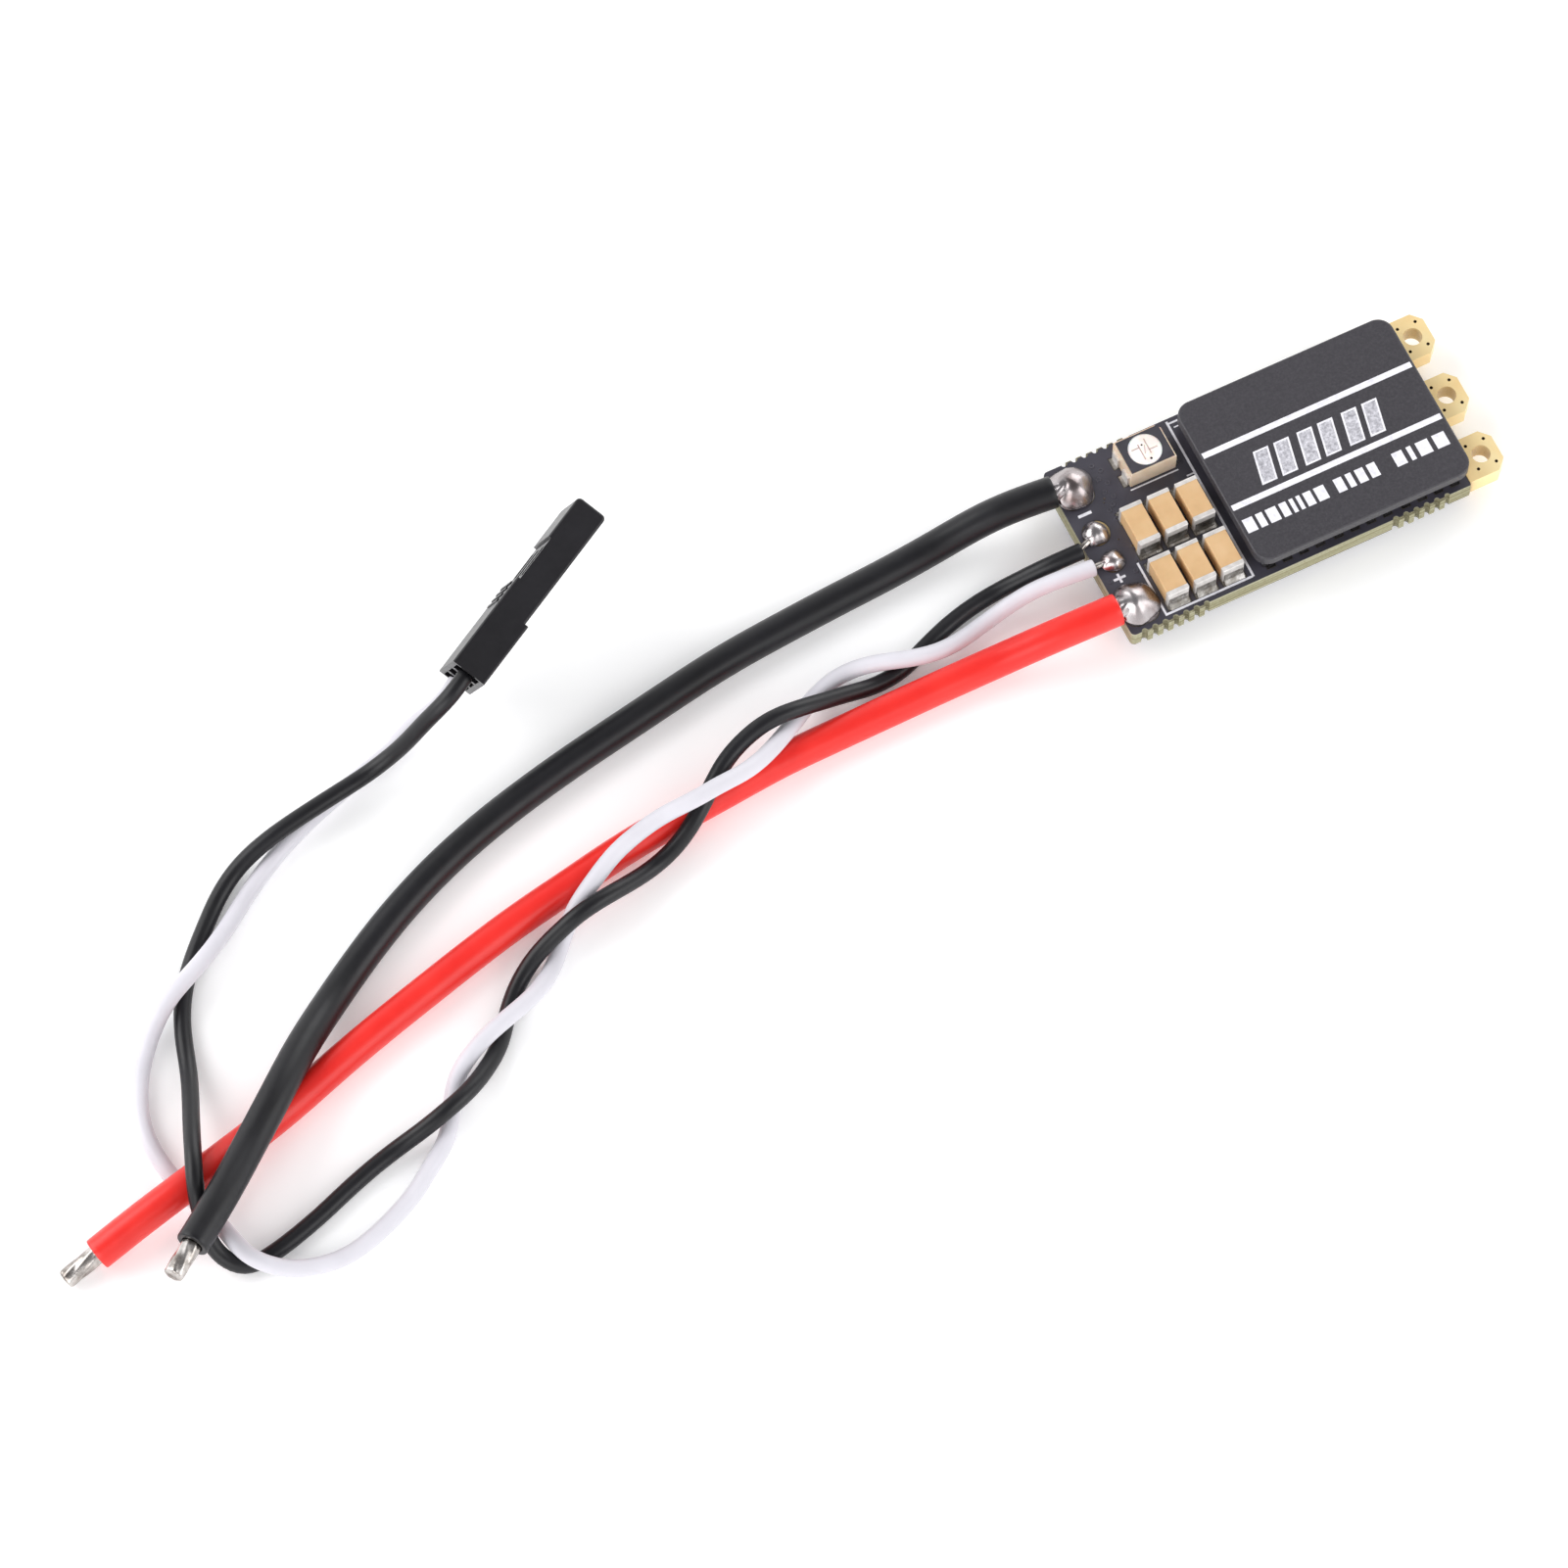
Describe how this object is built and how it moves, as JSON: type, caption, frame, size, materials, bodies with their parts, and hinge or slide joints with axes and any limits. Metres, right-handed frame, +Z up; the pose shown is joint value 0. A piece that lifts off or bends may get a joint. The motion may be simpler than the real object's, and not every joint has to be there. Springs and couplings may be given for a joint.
{
  "type": "electronic speed controller",
  "caption": "Flat motor controller board with a black heatsink plate, ceramic capacitors, status light, heavy battery leads and thin signal leads to a servo plug; gold motor tabs.",
  "frame": {"origin": "centre of the middle motor tab's hole, half way through the board's thickness", "axes": "+X along the board from the battery leads towards the motor tabs, +Z up through the heatsink plate, +Y across the board"},
  "size_m": [0.1145, 0.0422, 0.0122],
  "materials": {
    "laminate": "woven glass and epoxy, cut edge",
    "solder_mask": "black solder mask, semi-gloss",
    "silver_ink": "printed silver ink",
    "white_ink": "printed ink",
    "gold_plate": "immersion gold",
    "black_epoxy": "moulded epoxy",
    "tin_plate": "satin tin",
    "solder": "glossy reflowed solder",
    "tan_ceramic": "fired ceramic",
    "thermal_pad": "soft silicone pad",
    "black_anodised": "black anodised, satin",
    "led_plastic": "white moulded polymer",
    "black_plastic": "moulded nylon",
    "led_resin": "milky resin",
    "led_die": "bare chip",
    "black_silicone": "soft silicone",
    "red_silicone": "soft silicone",
    "white_silicone": "soft silicone",
    "tinned_copper": "stranded, tinned"
  },
  "bodies": {
    "controller": {"capacitor_ceramics": "tan_ceramic", "capacitor_end_caps": "tin_plate", "capacitor_pads": "gold_plate", "capacitor_solder": "solder", "chip_terminals": "gold_plate", "gate_driver": "black_epoxy", "heatsink_marking": "white_ink", "heatsink_marking_fill": "silver_ink", "heatsink_plate": "black_anodised", "lead_tails": "solder", "led_dies": "led_die", "led_housing": "led_plastic", "led_pads": "gold_plate", "led_resin": "led_resin", "led_terminals": "tin_plate", "led_top_mask": "black_plastic", "microcontroller": "black_epoxy", "motor_tab_a": "gold_plate", "motor_tab_b": "gold_plate", "motor_tab_c": "gold_plate", "pcb_core": "laminate", "power_pad_negative": "gold_plate", "power_pad_positive": "gold_plate", "power_transistors": "black_epoxy", "regulator_legs": "tin_plate", "signal_pads": "gold_plate", "silkscreen_top": "white_ink", "small_capacitors": "tan_ceramic", "small_part_terminals": "tin_plate", "small_resistors": "black_epoxy", "solder_joint_ground": "solder", "solder_joint_negative": "solder", "solder_joint_positive": "solder", "solder_joint_signal": "solder", "solder_mask_bottom": "solder_mask", "solder_mask_top": "solder_mask", "thermal_pad": "thermal_pad", "transistor_pads": "gold_plate", "transistor_terminals": "tin_plate", "voltage_regulator": "black_epoxy"},
    "leads": {"ground_lead_conductor": "tinned_copper", "ground_lead_insulation": "black_silicone", "power_lead_negative_conductor": "tinned_copper", "power_lead_negative_insulation": "black_silicone", "power_lead_positive_conductor": "tinned_copper", "power_lead_positive_insulation": "red_silicone", "signal_lead_conductor": "tinned_copper", "signal_lead_insulation": "white_silicone"},
    "plug": {"ground_wire_tail_conductor": "tinned_copper", "ground_wire_tail_insulation": "black_silicone", "plug_contact_ground": "gold_plate", "plug_contact_signal": "gold_plate", "plug_housing": "black_plastic", "signal_wire_tail_conductor": "tinned_copper", "signal_wire_tail_insulation": "white_silicone"}
  },
  "joints": [
    {"name": "lead_flex", "type": "hinge", "parent": "controller", "child": "leads", "pos_m": [-0.0287, 0, 0.0013], "axis": [0, 1, 0], "range_deg": [0, 25]},
    {"name": "plug_flex", "type": "hinge", "parent": "leads", "child": "plug", "pos_m": [-0.07134, 0.00915, 0.00393], "axis": [-0.0004, 0.3706, -0.9288], "range_deg": [-20, 20]}
  ]
}
